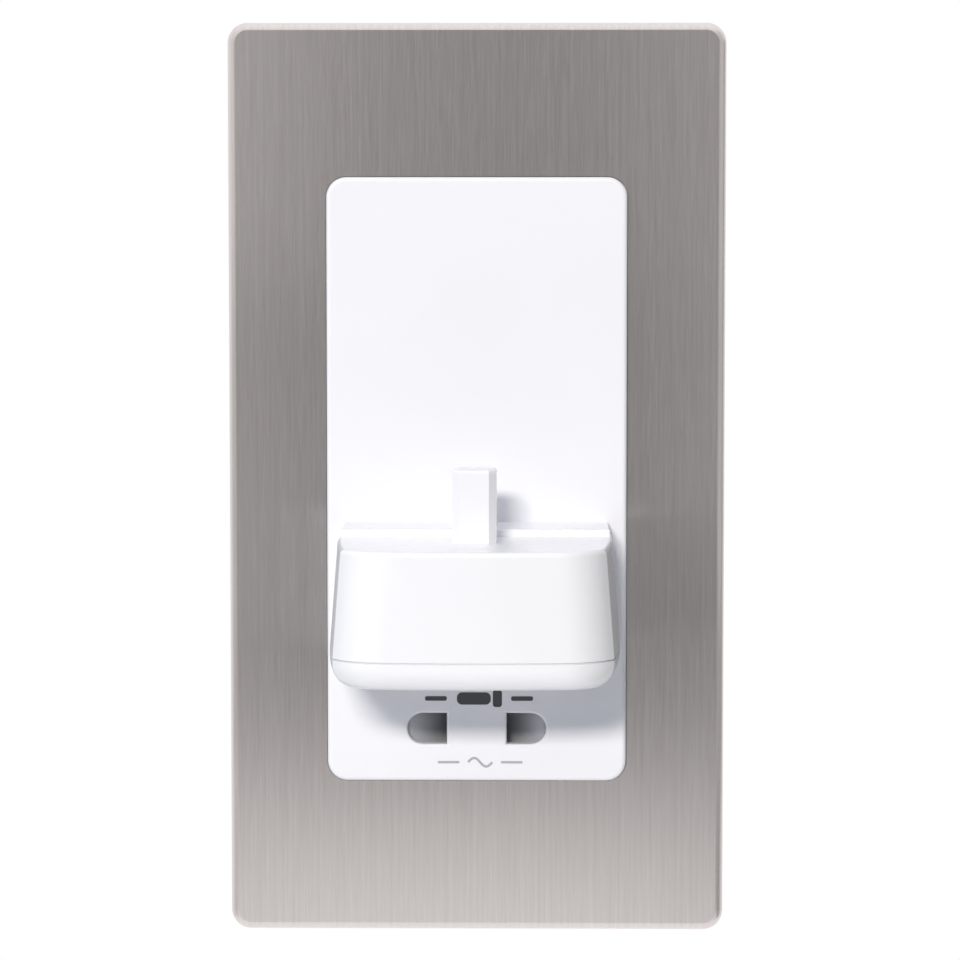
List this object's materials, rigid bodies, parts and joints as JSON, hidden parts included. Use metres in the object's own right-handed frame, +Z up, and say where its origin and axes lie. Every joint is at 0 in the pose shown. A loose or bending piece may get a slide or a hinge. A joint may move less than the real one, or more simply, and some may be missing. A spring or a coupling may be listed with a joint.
{
  "type": "shaver socket with toothbrush charging dock",
  "caption": "Wall-mounted shaver socket with a brushed steel plate, a white panel with shuttered pin slots and a shelf-like charging dock with an upright post.",
  "frame": {"origin": "centre of the front plate, on the wall surface behind it", "axes": "+Z up, +Y into the wall, +X to the right seen from the front"},
  "size_m": [0.086, 0.092, 0.158],
  "materials": {
    "brushed_steel": "brushed, vertical grain",
    "white_panel": "moulded gloss white",
    "white_dock": "moulded gloss white",
    "shutter_plastic": "moulded",
    "black_plastic": "moulded",
    "yoke_plastic": "moulded, grey white",
    "housing_plastic": "moulded, spark-eroded texture",
    "terminal_plastic": "moulded",
    "bobbin_plastic": "moulded",
    "brass": "pressed",
    "spring_steel": "drawn wire",
    "lamination_steel": "varnished laminations",
    "zinc_steel": "bright zinc plate",
    "enamelled_copper": "enamelled wire",
    "ferrite": "sintered",
    "gasket_rubber": "moulded silicone",
    "circuit_board": "solder mask",
    "capacitor_sleeve": "shrink sleeve",
    "film_case": "potted case",
    "component_black": "moulded epoxy"
  },
  "bodies": {
    "unit": {"front_plate": "brushed_steel", "socket_panel": "white_panel", "dock_shell": "white_dock", "dock_base": "white_dock", "plate_carrier": "black_plastic", "contact_block": "black_plastic", "mounting_yoke": "yoke_plastic", "rear_housing": "housing_plastic", "terminal_block": "terminal_plastic", "transformer_bobbin": "bobbin_plastic", "coil_former": "bobbin_plastic", "contact_left": "brass", "contact_right": "brass", "terminal_cages": "brass", "shutter_spring_left": "spring_steel", "shutter_spring_right": "spring_steel", "transformer_core": "lamination_steel", "transformer_clamps": "zinc_steel", "flange_screws": "zinc_steel", "housing_screws": "zinc_steel", "dock_fixing_screws": "zinc_steel", "block_screws": "zinc_steel", "clamp_screws": "zinc_steel", "board_screws": "zinc_steel", "dock_base_screws": "zinc_steel", "terminal_screws": "zinc_steel", "primary_winding": "enamelled_copper", "secondary_winding": "enamelled_copper", "charging_coil": "enamelled_copper", "ferrite_core": "ferrite", "dock_gasket": "gasket_rubber", "charger_board": "circuit_board", "electrolytic_capacitor": "capacitor_sleeve", "film_capacitor": "film_case", "bridge_rectifier": "component_black", "thermal_cutout": "component_black", "board_fuse": "component_black"},
    "left_shutter": {"shutter_left": "shutter_plastic"},
    "right_shutter": {"shutter_right": "shutter_plastic"}
  },
  "joints": [
    {"name": "left_shutter_slide", "type": "slide", "parent": "unit", "child": "left_shutter", "axis": [-1, 0, 0], "range_m": [0, 0.0061], "stiffness_N_per_m": 40, "springref_m": -0.01, "deforming": ["shutter_spring_left"]},
    {"name": "right_shutter_slide", "type": "slide", "parent": "unit", "child": "right_shutter", "axis": [1, 0, 0], "range_m": [0, 0.0061], "stiffness_N_per_m": 40, "springref_m": -0.01, "deforming": ["shutter_spring_right"]}
  ]
}
